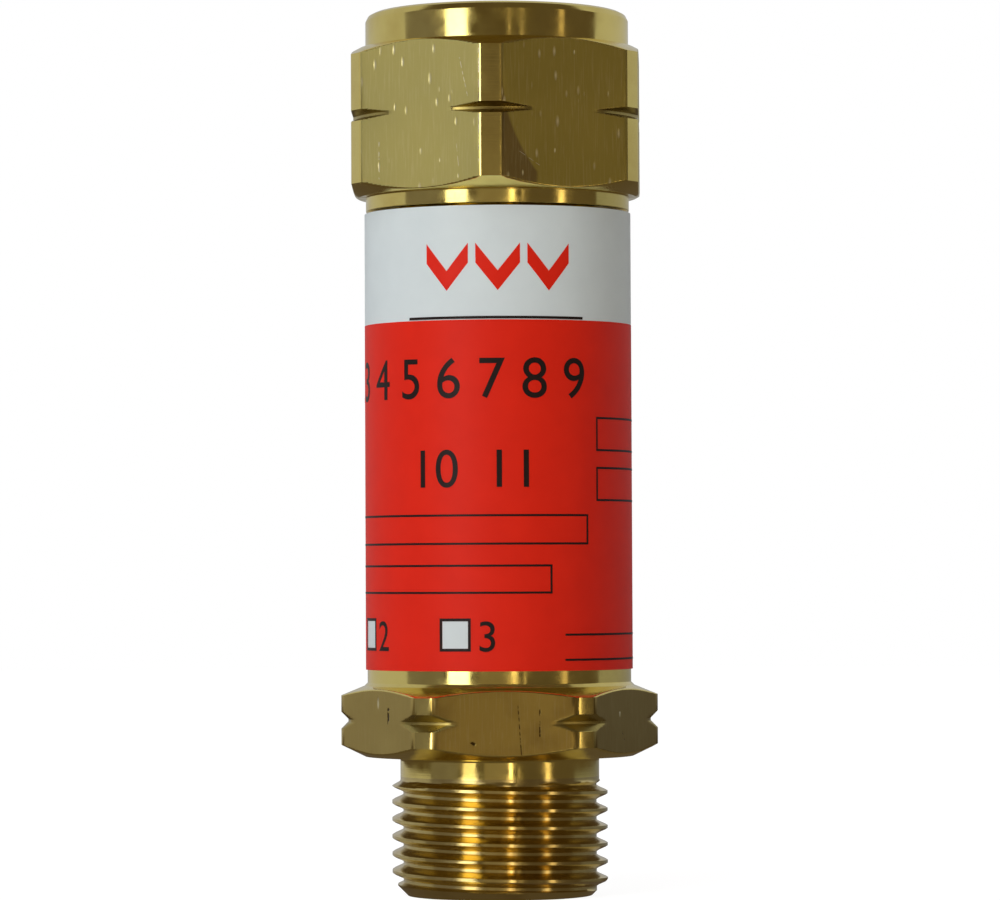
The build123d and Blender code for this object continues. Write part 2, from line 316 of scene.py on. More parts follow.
def makeLamps():
    distance = studio["stripDistance"]
    for i, (azimuth, degrees, bottom, top, radiance, colour) in enumerate(strips):
        level = (bottom + top) / 2
        width = 2 * distance * math.tan(math.radians(degrees / 2))
        place = onCircle(azimuth, distance, level)
        makeLamp(f"strip{i}", place, (0, 0, level), width, top - bottom, radiance, colour)
    top = makeLamp(
        "overhead", overhead["place"], overhead["target"], overhead["size"], overhead["size"],
        overhead["radiance"], overhead["colour"],
    )
    top.visible_glossy = False


makeFloor()
makeBackdrop()
makeRoom()
makeLamps()


# The bar that both hexagons are turned from
hexBar = {
    "acrossFlats": 22.0,
    "cornerSteps": 14,
    "flatSteps": 14,
    "arcSteps": 4,
    "rowsPerTurn": 12,
    "coneStep": 0.05,
    "maskDepth": 0.1,  # how far under a flat its marks still show
    "faceDepth": 0.2,  # how far under a flat its faces and the notches are looked for
    "upright": 0.1,  # the largest upward part of a flat's normal
}

print("materials")
# Lengths in mm. A scale is a noise scale per metre.
brass = {
    "feedMark": 0.09,  # between the lathe tool's marks
    "feedDepth": 0.004,
    "turnedPatchScale": 260,
    "smearScale": 900,
    "drawLine": 0.11,  # between the lines that drawing leaves on the flats
    "drawDepth": 0.012,
    "drawStretch": 0.04,
    "drawnPatchScale": 180,
    "dingScale": 1800,
    "dingStretch": 0.35,
    "dingCore": 0.05,
    "dingReach": (0.12, 0.34),
    "dingDepth": 0.04,
    "strokeCore": 0.2,  # shares of a scratch's width
    "strokeEdge": 0.6,
    "breakScale": 2600,  # gaps in the scratches
    "paintedFaceLightShare": 0.85,
    "rubbed": "FFF6C8",
}
# Free-cutting brass, CuZn39Pb3, as turned, and a darker, rougher version of it for the thread
turnedFinish = {"colour": "EFDB82", "patches": "E2CB74", "roughness": 0.12, "rings": 0.35}
threadFinish = {"colour": "DDC986", "patches": "CBB470", "roughness": 0.15, "rings": 1.0}
# The notches in the corners: darker and duller, because nothing rubs there
notchFinish = {"colour": "B9A862", "patches": "A08C4E", "roughness": 0.28, "rings": 0.35}
# The flats of the two hexagons: the nut's are rubbed bright by spanners, the housing's are tarnished. Each
# flat facing the camera also gets a painted tone of light and shade: lighter on the left face, darker on the
# right one.
nutFlats = {
    "colour": "DCD088", "patches": "CDBC70", "roughness": 0.44, "scratchAndGlintColour": "FFF8D8", "unmarked": 0.5,
    "paintedFaceLight": [(-34.2, "DACF80"), (25.8, "BDAE58")], "streaks": 0.3,
}
hexFlats = {
    "colour": "A9924F", "patches": "8A723C", "roughness": 0.34, "scratchAndGlintColour": "4A3A1A", "unmarked": 0.97,
    "paintedFaceLight": [(-60, "C8B065"), (60, "958044")], "streaks": 0.1,
}
# Painted dark reflection on one flat of the nut, in brown: it starts at the corner and gets wider downwards.
# In mm on the flat.
nutPaintedReflection = {
    "azimuth": 25.8,
    "top": 63.6,
    "bottom": 55.1,
    "left": -5.39,
    "width": 3.0,
    "curve": 2.4,
    "blur": 0.15,
    "colour": "998654",
}
# Scratches on the flats as (azimuth of the flat, across and level of each end, width), in mm
nutScratchesAndEdgeGlint = [
    (-34.2, 3.6, 63.7, 4.3, 60.8, 0.07), (-34.2, -3.7, 57.7, -3.7, 54.9, 0.09),
    (-34.2, 3.3, 57.2, 3.5, 55.4, 0.05), (25.8, -3.9, 56.6, -2.2, 55.6, 0.04),
    # These two run along the edge by the front corner: a worn edge, painted bright as its highlight too
    (-34.2, 5.3, 64.6, 5.3, 60.4, 0.1), (-34.2, 5.3, 59.4, 5.3, 55.0, 0.1),
]
hexScratches = [
    (0, 1.0, 14.9, 1.25, 11.2, 0.09), (0, 2.65, 14.6, 2.65, 12.6, 0.14), (-60, 1.66, 14.5, 1.66, 13.5, 0.3),
    (0, -2.7, 12.2, -2.3, 12.0, 0.25), (60, -1.0, 13.0, -0.4, 12.1, 0.06),
]


def metalBase(tree, colour, tarnish, scale):
    # Metal colour with slow patches of tarnish. Returns the coordinates, the colour and the patch value.
    point = addNode(tree, "ShaderNodeTexCoord").outputs["Object"]
    patch = noise(tree, point, scale, 4.0, 0.6)
    return point, mixColour(tree, ramp(tree, patch, 0.42, 0.72), linear(colour), linear(tarnish)), patch


def makeTurnedBrass(name, finish):
    # Brass finished on a lathe, with fine rings that stretch each highlight along the axis
    material, tree = newTree(name)
    point, colour, _ = metalBase(tree, finish["colour"], finish["patches"], brass["turnedPatchScale"])
    x, y, z = separate(tree, point)
    radius = maths(tree, "SQRT", maths(tree, "MULTIPLY_ADD", y, y, maths(tree, "MULTIPLY", x, x)))
    along = addNode(tree, "ShaderNodeCombineXYZ", None, {0: radius, 2: z}).outputs[0]
    rings = noise(tree, along, 1 / (brass["feedMark"] * mm), 2.0)
    smear = noise(tree, point, brass["smearScale"], 3.0)
    rough = ramp(tree, smear, 0.3, 0.7, finish["roughness"] - 0.04, finish["roughness"] + 0.08)
    relief = bump(tree, rings, finish["rings"], brass["feedDepth"])
    principled(tree, colour, 1.0, rough, relief)
    return material


def flatMask(tree, point, azimuth):
    # 1 on one of the hexagon's flats and 0 elsewhere
    outward = vectorMaths(tree, "DOT_PRODUCT", point, onCircle(azimuth, 1, 0), "Value")
    limit = (hexBar["acrossFlats"] / 2 - hexBar["maskDepth"]) * mm
    return maths(tree, "GREATER_THAN", outward, limit)


def paintedReflectionMask(tree, point, paintedReflectionPatch):
    # Where the painted reflection lies: 1 between the flat's left edge and a curve that leaves it downwards
    a = math.radians(paintedReflectionPatch["azimuth"])
    sideways = (math.cos(a) / mm, math.sin(a) / mm, 0)
    across = vectorMaths(tree, "DOT_PRODUCT", point, sideways, "Value")
    deep = ramp(tree, separate(tree, point)[2], paintedReflectionPatch["top"] * mm, paintedReflectionPatch["bottom"] * mm)
    grown = maths(tree, "POWER", deep, paintedReflectionPatch["curve"])
    limit = maths(tree, "MULTIPLY_ADD", grown, paintedReflectionPatch["width"], paintedReflectionPatch["left"])
    past = maths(tree, "SUBTRACT", limit, across)
    inside = ramp(tree, past, -paintedReflectionPatch["blur"], paintedReflectionPatch["blur"], curve="SMOOTHSTEP")
    return maths(tree, "MULTIPLY", inside, flatMask(tree, point, paintedReflectionPatch["azimuth"]))


def onFlat(azimuth, across, level):
    # A point on one of the hexagon's flats
    a = math.radians(azimuth)
    across = Vector((math.cos(a), math.sin(a), 0)) * across * mm
    return onCircle(azimuth, hexBar["acrossFlats"] / 2 * mm, level * mm) + across


def strokeMask(tree, point, start, stop, width):
    # 1 on the stretch between two points and 0 beside it
    along = stop - start
    offset = vectorMaths(tree, "SUBTRACT", point, start)
    reached = vectorMaths(tree, "DOT_PRODUCT", offset, along, "Value")
    share = maths(tree, "DIVIDE", reached, along.length_squared, clamp=True)
    nearest = addNode(tree, "ShaderNodeVectorMath", {"operation": "SCALE"}, {0: along, "Scale": share})
    distance = vectorMaths(tree, "DISTANCE", offset, nearest.outputs[0], "Value")
    core = width * mm * brass["strokeCore"]
    edge = width * mm * brass["strokeEdge"]
    return ramp(tree, distance, core, edge, 1.0, 0.0, "SMOOTHSTEP")


def scratchAndGlintMarks(tree, point, scratchAndGlintLines):
    # 1 in the scratches, with gaps in them. On the nut, two of them lie on its worn front edge and also
    # paint that edge's highlight as a dotted glint.
    scratchAndGlintMask = 0.0
    for azimuth, across0, level0, across1, level1, width in scratchAndGlintLines:
        ends = onFlat(azimuth, across0, level0), onFlat(azimuth, across1, level1)
        scratchAndGlintMask = maths(tree, "MAXIMUM", scratchAndGlintMask, strokeMask(tree, point, *ends, width))
    breaks = noise(tree, point, brass["breakScale"], 1.0)
    return maths(tree, "MULTIPLY", scratchAndGlintMask, ramp(tree, breaks, 0.44, 0.54))


def dingMarks(tree, point, unmarked):
    # 1 in the middle of small marks of uneven size, longer along the bar
    cells = addNode(tree, "ShaderNodeTexVoronoi", {"feature": "F1"}, {
        "Vector": stretched(tree, point, brass["dingStretch"]), "Scale": brass["dingScale"],
    })
    pick = addNode(tree, "ShaderNodeTexWhiteNoise", {"noise_dimensions": "3D"}, {
        "Vector": cells.outputs["Position"],
    })
    large = addNode(tree, "ShaderNodeSeparateColor", None, {0: pick.outputs["Color"]}).outputs[1]
    reach = ramp(tree, large, 0.0, 1.0, *brass["dingReach"])
    spot = ramp(tree, cells.outputs["Distance"], brass["dingCore"], reach, 1.0, 0.0)
    few = maths(tree, "GREATER_THAN", pick.outputs["Value"], unmarked)
    return maths(tree, "MULTIPLY", spot, few)


def makeDrawnBrass(name, flats, scratchAndGlintLines, paintedReflectionPatch=None):
    # Flats of drawn hexagon bar: satin, with lines along the bar, small bright dings and scratches, a
    # painted tone of light and shade on each front face, and on the nut a painted dark reflection and a
    # painted edge glint
    material, tree = newTree(name)
    point, base, patch = metalBase(tree, flats["colour"], flats["patches"], brass["drawnPatchScale"])
    # Painted light and shade: each front face takes a set tone, lighter on the left and darker on the right,
    # for how the light falls on it
    for azimuth, colour in flats["paintedFaceLight"]:
        share = maths(tree, "MULTIPLY", flatMask(tree, point, azimuth), brass["paintedFaceLightShare"])
        base = mixColour(tree, share, base, linear(colour))
    # A painted dark reflection, in brown, on one of the nut's flats
    if paintedReflectionPatch:
        base = mixColour(tree, paintedReflectionMask(tree, point, paintedReflectionPatch), base, linear(paintedReflectionPatch["colour"]))
    drawn = stretched(tree, point, brass["drawStretch"])
    lines = noise(tree, drawn, 1 / (brass["drawLine"] * mm), 3.0, 0.65)
    marks = dingMarks(tree, point, flats["unmarked"])
    scratchAndGlintMask = scratchAndGlintMarks(tree, point, scratchAndGlintLines)
    streaks = ramp(tree, lines, 0.52, 0.8, 0.0, flats["streaks"])
    base = mixColour(tree, streaks, base, linear(brass["rubbed"]))
    # Scratches, and on the nut its worn front edge painted bright as a glint
    base = mixColour(tree, scratchAndGlintMask, base, linear(flats["scratchAndGlintColour"]))
    base = mixColour(tree, marks, base, linear(brass["rubbed"]))
    fine = bump(tree, lines, 0.3, brass["drawDepth"])
    relief = maths(tree, "MAXIMUM", marks, scratchAndGlintMask)
    dented = bump(tree, relief, 0.7, brass["dingDepth"], True, {"Normal": fine})
    rough = ramp(tree, patch, 0.3, 0.7, flats["roughness"] - 0.05, flats["roughness"] + 0.05)
    principled(tree, base, 1.0, rough, dented)
    return material


def makePrint(name, colour, darker, roughness):
    # Ink or film under a clear laminate: even colour, soft mottle, satin skin with slow waves
    material, tree = newTree(name)
    point = addNode(tree, "ShaderNodeTexCoord").outputs["Object"]
    base = mixColour(tree, noise(tree, point, 420, 3.0), linear(colour), linear(darker))
    waves = bump(tree, noise(tree, point, 160, 1.0), 0.15, 0.05)
    principled(tree, base, 0.0, roughness, waves, {"Specular IOR Level": 0.2})
    return material


def makePlain(name, colour, darker, metallic, roughness, scale, depth):
    # A worked surface for an inner piece: two tones and a fine relief
    material, tree = newTree(name)
    point = addNode(tree, "ShaderNodeTexCoord").outputs["Object"]
    grain = noise(tree, point, scale, 4.0)
    base = mixColour(tree, grain, linear(colour), linear(darker))
    relief = bump(tree, grain, 0.5, depth)
    principled(tree, base, metallic, roughness, relief)
    return material


turnedBrass = makeTurnedBrass("turnedBrass", turnedFinish)
threadBrass = makeTurnedBrass("threadBrass", threadFinish)
notchBrass = makeTurnedBrass("notchBrass", notchFinish)
drawnBrass = makeDrawnBrass("drawnBrass", nutFlats, nutScratchesAndEdgeGlint, nutPaintedReflection)
tarnishedBrass = makeDrawnBrass("tarnishedDrawnBrass", hexFlats, hexScratches)
whiteFilm = makePrint("whitePolyesterFilm", "E8F3F5", "DFEAED", 0.45)
redInk = makePrint("redScreenInk", "F4280E", "E6220B", 0.5)
blackInk = makePrint("blackScreenInk", "1C1514", "2A1E1C", 0.45)
# Bright drawn wire
springSteel = makePlain("stainlessSpringWire", "C9C9C6", "A9A9A6", 1.0, 0.28, 900, 0.004)
# Dull grey grains of pressed and sintered powder
sinter = makePlain("sinteredSteel", "8E8B84", "5E5B55", 1.0, 0.55, 3200, 0.03)
# Soft white metal as cast, with a wavy skin
solder = makePlain("castSolder", "B9B9B4", "94948F", 1.0, 0.45, 700, 0.02)
# Matt black rubber
nitrile = makePlain("mouldedNitrile", "1B1B1C", "262627", 0.0, 0.5, 1500, 0.01)
# Pale rough board
fibre = makePlain("pressedFibre", "C7BFAE", "AFA691", 0.0, 0.8, 2600, 0.02)


print("turned pieces")


def hexLimit(azimuth, bar):
    # Distance from the axis to the hexagon's surface, in mm
    sector = math.radians(60)
    off = (azimuth - math.radians(bar["turn"])) % sector - sector / 2
    return hexBar["acrossFlats"] / 2 / math.cos(off)


def blunt(radius, limit, edge):
    # The smaller of two radii, with the edge between them rounded off
    near = max(edge - abs(radius - limit), 0) / edge
    return min(radius, limit) - near * near * edge / 4


def hexColumns(bar):
    # Azimuths round the hexagon, closer together at its corners, with the first one again at the end
    corner = bar["cornerHalfAngle"]
    flatSteps = hexBar["flatSteps"]
    cornerSteps = hexBar["cornerSteps"]
    half = [(30 - corner) * i / flatSteps for i in range(flatSteps)]
    half += [30 - corner + corner * i / cornerSteps for i in range(cornerSteps)]
    sector = sorted([-s for s in half[1:]] + half + [30])
    turns = [bar["turn"] + 30 + 60 * k + s for k in range(6) for s in sector]
    return [math.radians(a) for a in [turns[-1] - 360] + turns]


def divided(start, stop, step):
    # Points from one (radius, level) to another, without the last one
    count = max(1, math.ceil(math.dist(start, stop) / step))
    return [
        (start[0] + (stop[0] - start[0]) * i / count, start[1] + (stop[1] - start[1]) * i / count)
        for i in range(count)
    ]


def rounded(before, corner, after, radius):
    # The corner of a profile as a short arc
    corner = Vector(corner)
    toBefore = (Vector(before) - corner).normalized()
    toAfter = (Vector(after) - corner).normalized()
    half = toBefore.angle(toAfter) / 2
    centre = corner + (toBefore + toAfter).normalized() * (radius / math.sin(half))
    start = corner + toBefore * (radius / math.tan(half)) - centre
    stop = corner + toAfter * (radius / math.tan(half)) - centre
    steps = hexBar["arcSteps"]
    return [
        tuple(centre + (start * (1 - i / steps) + stop * (i / steps)).normalized() * radius)
        for i in range(steps + 1)
    ]


def profileRows(corners):
    # Rows of (radius, level, thread turn), from corners of (radius, level, edge radius, step to the next)
    rows = []
    count = len(corners)
    for i, (r, z, edge, step) in enumerate(corners):
        before = corners[i - 1][:2]
        after = corners[(i + 1) % count][:2]
        here = rounded(before, (r, z), after, edge) if edge else [(r, z)]
        rows += here[:-1]
        nextEdge = corners[(i + 1) % count][2]
        stop = after
        if nextEdge:
            stop = rounded((r, z), after, corners[(i + 2) % count][:2], nextEdge)[0]
        rows += divided(here[-1], stop, step or 100)
    return [(r, z, None) for r, z in rows]


def threadRows(thread, downward):
    # Rows of a thread, each one a helix that the node tree puts in its place
    turns = (thread["End Level"] - thread["Start Level"]) / thread["Pitch"] + 1
    perTurn = hexBar["rowsPerTurn"]
    count = math.ceil(turns * perTurn)
    rows = [
        (thread["Crest Radius"], thread["Start Level"], i / perTurn)
        for i in range(count + 1)
    ]
    return rows[::-1] if downward else rows


def latheMesh(name, rows, bar):
    # A closed grid round the axis, cut by the hexagon where the profile is wider
    mesh = bpy.data.meshes.new(name)
    columns = hexColumns(bar)
    points = []
    around = []
    threadTurn = []
    for radius, level, turned in rows:
        for j, azimuth in enumerate(columns):
            r = blunt(radius, hexLimit(azimuth, bar), bar["edge"]) * mm
            points.append((r * math.cos(azimuth), r * math.sin(azimuth), level * mm))
            around.append((azimuth - columns[0]) / math.tau)
            threadTurn.append(-1 if turned is None else turned)
    wide = len(columns)
    faces = []
    for i in range(len(rows)):
        k = (i + 1) % len(rows)
        faces += [
            (i * wide + j, i * wide + j + 1, k * wide + j + 1, k * wide + j)
            for j in range(wide - 1)
        ]
    mesh.from_pydata(points, [], faces)
    for attribute, values in (("around", around), ("threadTurn", threadTurn)):
        mesh.attributes.new(attribute, "FLOAT", "POINT").data.foreach_set("value", values)
    return mesh


def makeThreadTree(material):
    # Left-hand pipe thread of 55 degrees: winds the rows that carry a thread turn and cuts the grooves
    tree = bpy.data.node_groups.new("leftHandThread", "GeometryNodeTree")
    tree.interface.new_socket("Geometry", in_out="INPUT", socket_type="NodeSocketGeometry")
    tree.interface.new_socket("Geometry", in_out="OUTPUT", socket_type="NodeSocketGeometry")
    for name in maleThread:
        tree.interface.new_socket(name, in_out="INPUT", socket_type="NodeSocketFloat")
    given = addNode(tree, "NodeGroupInput").outputs
    land = 1 / 6  # share of the pitch that is flat at the crest, and as much at the root

    def stored(name):
        node = addNode(tree, "GeometryNodeInputNamedAttribute", {"data_type": "FLOAT"}, {"Name": name})
        return node.outputs[0]

    calc = partial(maths, tree)
    spread = partial(ramp, tree)
    around = stored("around")
    row = stored("threadTurn")
    isThread = calc("GREATER_THAN", row, -0.5)
    wound = calc("MULTIPLY_ADD", calc("SUBTRACT", row, around), given["Pitch"], given["Start Level"])
    level = calc("MINIMUM", calc("MAXIMUM", wound, given["Start Level"]), given["End Level"])
    fromStart = calc("DIVIDE", calc("SUBTRACT", level, given["Start Level"]), given["Pitch"])
    phase = calc("ADD", fromStart, calc("ADD", around, given["Phase"]))
    wave = calc("ABSOLUTE", calc("MULTIPLY_ADD", calc("FRACT", phase), 2.0, -1.0))
    straight = spread(wave, land, 1 - land)
    soft = spread(wave, land, 1 - land, curve="SMOOTHSTEP")
    shape = calc("MULTIPLY", calc("ADD", straight, soft), 0.5)
    runOut = calc("SUBTRACT", given["End Level"], given["Run Out"])
    share = spread(level, runOut, given["End Level"], 1.0, given["Depth At End"])
    groove = calc("MULTIPLY", calc("MULTIPLY", shape, share), given["Depth"])
    cut = calc("SUBTRACT", calc("MULTIPLY", given["Side"], given["Crest Radius"]), groove)
    coneTop = calc("ADD", given["Start Level"], given["Start Cone Height"])
    startCone = spread(level, given["Start Level"], coneTop, given["Start Radius"], given["Crest Radius"])
    coneEnd = calc("SUBTRACT", given["End Level"], given["End Land"])
    coneStart = calc("SUBTRACT", coneEnd, given["End Cone Height"])
    endCone = spread(level, coneStart, coneEnd, given["Crest Radius"], given["End Radius"])
    startLimit = calc("MULTIPLY", given["Side"], startCone)
    limit = calc("MINIMUM", startLimit, calc("MULTIPLY", given["Side"], endCone))
    radius = calc("MULTIPLY", calc("MULTIPLY", calc("MINIMUM", cut, limit), given["Side"]), mm)
    place = separate(tree, addNode(tree, "GeometryNodeInputPosition").outputs[0])
    angle = calc("ARCTAN2", place[1], place[0])
    point = addNode(tree, "ShaderNodeCombineXYZ", None, {
        0: calc("MULTIPLY", radius, calc("COSINE", angle)), 1: calc("MULTIPLY", radius, calc("SINE", angle)),
        2: calc("MULTIPLY", level, mm),
    })
    moved = addNode(tree, "GeometryNodeSetPosition", None, {
        "Geometry": given["Geometry"], "Selection": isThread, "Position": point.outputs[0],
    })
    real = addNode(tree, "GeometryNodeRealizeInstances", None, {0: moved.outputs[0]})
    finished = addNode(tree, "GeometryNodeSetMaterial", None, {
        "Geometry": real.outputs[0], "Selection": isThread, "Material": material,
    })
    addNode(tree, "NodeGroupOutput", None, {0: finished.outputs[0]})
    return tree


def cutThread(piece, tree, thread):
    # Runs the node tree on a piece and keeps the result as its plain mesh
    modifier = piece.modifiers.new("thread", "NODES")
    modifier.node_group = tree
    for item in tree.interface.items_tree:
        if item.in_out == "INPUT" and item.name in thread:
            modifier[item.identifier] = float(thread[item.name])
    piece.update_tag()
    view = bpy.context.evaluated_depsgraph_get()
    mesh = bpy.data.meshes.new_from_object(piece.evaluated_get(view), depsgraph=view)
    piece.modifiers.clear()
    piece.data = mesh


weld = {
    "merge": 2e-7,  # metres
    "sliver": 1e-7,
    "turnedSharp": 40,  # degrees from which an edge is shaded sharp
    "smallSharp": 30,
}


def closeMesh(mesh, sharpDegrees):
    # Merges the seam and the collapsed rows, turns the faces outward and shades them smooth
    skin = bmesh.new()
    skin.from_mesh(mesh)
    bmesh.ops.remove_doubles(skin, verts=skin.verts, dist=weld["merge"])
    bmesh.ops.dissolve_degenerate(skin, dist=weld["sliver"], edges=skin.edges)
    bmesh.ops.recalc_face_normals(skin, faces=skin.faces)
    skin.to_mesh(mesh)
    skin.free()
    for polygon in mesh.polygons:
        polygon.use_smooth = True
    mesh.set_sharp_from_angle(angle=math.radians(sharpDegrees))


def markFlats(mesh, bar):
    # Gives the hexagon's flats the second material and its notches the third
    low, high = bar["notch"]
    for polygon in mesh.polygons:
        centre = polygon.center
        radius = math.hypot(centre.x, centre.y) / mm
        upright = abs(polygon.normal.z) < hexBar["upright"]
        if polygon.material_index == 0 and radius > hexBar["acrossFlats"] / 2 - hexBar["faceDepth"]:
            if upright and radius > hexLimit(math.atan2(centre.y, centre.x), bar) - bar["edge"] / 3:
                polygon.material_index = 1
            elif radius < bar["notchTop"] and low < centre.z / mm < high:
                polygon.material_index = 2


def makeObject(name, mesh, materials):
    # A new object, with its materials in the order of its slots
    for material in materials:
        mesh.materials.append(material)
    piece = bpy.data.objects.new(name, mesh)
    bpy.context.scene.collection.objects.link(piece)
    return piece


def fit(piece, body, node):
    # Puts the object on its body in place of its CAD node
    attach(piece, body)
    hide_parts(node)


maleThread = {
    "Side": 1,
    "Start Level": 0.0,
    "End Level": 9.2,
    "Pitch": 25.4 / 19,
    "Phase": 7 / 12,
    "Crest Radius": 8.331,
    "Depth": 0.856,
    "Depth At End": 0.0,
    "Run Out": 0.6,
    "Start Radius": 7.131,
    "Start Cone Height": 1.2,
    "End Radius": 7.69,
    "End Cone Height": 0.35,
    "End Land": 0.35,
}
femaleThread = {
    "Side": -1,
    "Start Level": 58.4,
    "End Level": 68.2,
    "Pitch": 25.4 / 19,
    "Phase": 0.0,
    "Crest Radius": 7.475,
    "Depth": 0.856,
    "Depth At End": 1.0,
    "Run Out": 0.5,
    "Start Radius": 7.475,
    "Start Cone Height": 0.1,
    "End Radius": 8.475,
    "End Cone Height": 1.0,
    "End Land": 0.0,
}
threadTree = makeThreadTree(threadBrass)

print("housing")
cone = hexBar["coneStep"]
# Corners as (radius, level, edge radius, step to the next), from the thread up and back down inside
housingProfile = [
    (7.69, 9.2, 0, None), (7.69, 10.75, 0.35, None), (10.4, 10.75, 0.1, cone), (12.25, 11.65, 0, None),
    (12.25, 12.89, 0, cone), (11.7, 13.45, 0.05, None), (11.7, 13.65, 0.05, cone),
    (12.25, 14.21, 0, None), (12.25, 15.47, 0, cone), (10.45, 16.2, 0.1, None), (10.2, 16.45, 0.1, None),
    (10.2, 52.7, 0.1, None), (8.5, 52.7, 0.1, None), (8.5, 46, 0, None), (8.0, 46, 0, None),
    (8.0, 19, 0, None), (3.5, 19, 0, None), (3.5, 2.25, 0.1, None), (5.75, 0, 0.08, None),
    (7.131, 0, 0, None),
]
housingBar = {
    "turn": 0,
    "edge": 0.15,
    "cornerHalfAngle": 8,
    "notch": (12.89, 14.21),
    "notchTop": 12.23,
}


def makeHousing():
    rows = profileRows(housingProfile) + threadRows(maleThread, False)
    mesh = latheMesh("housing", rows, housingBar)
    piece = makeObject("housingBrass", mesh, [turnedBrass, tarnishedBrass, notchBrass])
    cutThread(piece, threadTree, maleThread)
    closeMesh(piece.data, weld["turnedSharp"])
    markFlats(piece.data, housingBar)
    fit(piece, "housing_body", "housing")


makeHousing()

print("union nut")
nutProfile = [
    (7.65, 52.85, 0.08, None), (10.2, 52.85, 0.06, None), (10.2, 53.93, 0.06, None),
    (10.8, 53.93, 0.1, cone), (12.25, 54.71, 0, None),
    (12.25, 59.47, 0, cone), (11.4, 59.78, 0.05, None), (11.4, 60.02, 0.05, cone),
    (12.25, 60.33, 0, None), (12.25, 64.67, 0, cone), (10.8, 65.45, 0.1, None), (10.2, 65.45, 0.06, None),
    (10.2, 67.6, 0.2, None), (10.0, 68.0, 0.2, None), (9.6, 68.2, 0.2, None), (8.475, 68.2, 0, None),
]
nutInside = [
    (8.6, 58.4, 0, None), (8.6, 56.6, 0, None), (7.65, 56.6, 0, None),
    (7.65, 55.3, 0, None), (8.25, 54.95, 0, None), (8.25, 54.45, 0, None), (7.65, 54.1, 0, None),
]
nutBar = {
    "turn": 25.8,
    "edge": 0.08,
    "cornerHalfAngle": 5,
    "notch": (59.47, 60.33),
    "notchTop": 12.23,
}


def makeNut():
    rows = profileRows(nutInside + nutProfile) + threadRows(femaleThread, True)
    mesh = latheMesh("unionNut", rows, nutBar)
    piece = makeObject("unionNutBrass", mesh, [turnedBrass, drawnBrass, notchBrass])
    cutThread(piece, threadTree, femaleThread)
    closeMesh(piece.data, weld["turnedSharp"])
    markFlats(piece.data, nutBar)
    fit(piece, "nut_body", "union_nut")


makeNut()

print("label")
# Lengths in mm and azimuths in degrees
label = {
    "bottom": 17.45,
    "top": 52.65,
    "redTop": 44.0,
    "gap": 2,  # degrees left open at the back
    "strip": 0.5,  # between the lines along which a print bends round the tube
    "merge": 1e-4,
    "filmRadius": 10.2,
    "redRadius": 10.315,
    "blackRadius": 10.33,
    "topRadius": 10.345,
    "line": 0.16,
    "boxes": (-128, -74.5, -20.9),  # azimuths of the tick boxes
    "boxSize": 2.5,
    "boxLevel": 18.95,
    "boxLine": 0.22,
    "boxNumberHeight": 2.4,
    "boxNumberTurn": 14,  # from the box to its number
    "chevrons": (-24, -2, 20),
    "chevronLevel": 46.2,
    "chevronHalf": 1.7,
    "chevronHeight": 3.6,
    "chevronDrop": 2.1,  # height of its arms on the outside
    "chevronRise": 1.5,  # height of its middle
    "figureShare": 0.729,  # height of a figure beside the font's size
    "underline": (-42.5, 36.4, 0.06, 0.26),  # left, right, and its edges above the red
}
# Rows of plain numbers as (first number, height, level, azimuths)
numberRows = [
    (1, 3.2, 38.1, [-116 + 18.5 * i for i in range(9)]),
    (10, 3.0, 31.35, [-30, 4]),
]
# Write-on fields as (left, right, bottom, top), and rules as (left, right, level)
fields = [(-120, 39, 27.0, 29.3), (-120, 21, 23.3, 25.5), (44, 96, 34.1, 36.7), (44, 96, 30.3, 32.9)]
rules = [(27, 88, 20.1), (27, 88, 18.2)]
arcPerDegree = math.radians(label["topRadius"])


def rectangle(left, right, bottom, top):
    # Corners of a rectangle, from azimuths and levels
    left, right = left * arcPerDegree, right * arcPerDegree
    return [(left, bottom), (right, bottom), (right, top), (left, top)]


def frameOutlines(left, right, bottom, top, line):
    # A rectangular line as its outer and inner outline
    side = line / arcPerDegree
    inner = rectangle(left + side, right - side, bottom + line, top - line)
    return [rectangle(left, right, bottom, top), inner]


def flatPrint(outlines):
    # A filled flat mesh from closed outlines. An outline inside another one is a hole.
    curve = bpy.data.curves.new("outline", "CURVE")
    curve.dimensions = "2D"
    curve.fill_mode = "BOTH"
    for outline in outlines:
        spline = curve.splines.new("POLY")
        spline.points.add(len(outline) - 1)
        for point, (x, y) in zip(spline.points, outline):
            point.co = (x, y, 0, 1)
        spline.use_cyclic_u = True
    return flatMesh(curve)


def flatText(text, height, azimuth, level):
    # Plain figures as a flat mesh, centred on an azimuth and standing on a level
    curve = bpy.data.curves.new("figures", "FONT")
    curve.body = text
    curve.size = height / label["figureShare"]
    curve.align_x = "CENTER"
    curve.fill_mode = "BOTH"
    mesh = flatMesh(curve)
    mesh.transform(Matrix.Translation((azimuth * arcPerDegree, level, 0)))
    return mesh


def flatMesh(curve):
    # The filled mesh of a curve
    source = bpy.data.objects.new("flat", curve)
    bpy.context.scene.collection.objects.link(source)
    view = bpy.context.evaluated_depsgraph_get()
    mesh = bpy.data.meshes.new_from_object(source.evaluated_get(view), depsgraph=view)
    bpy.data.objects.remove(source)
    bpy.data.curves.remove(curve)
    return mesh


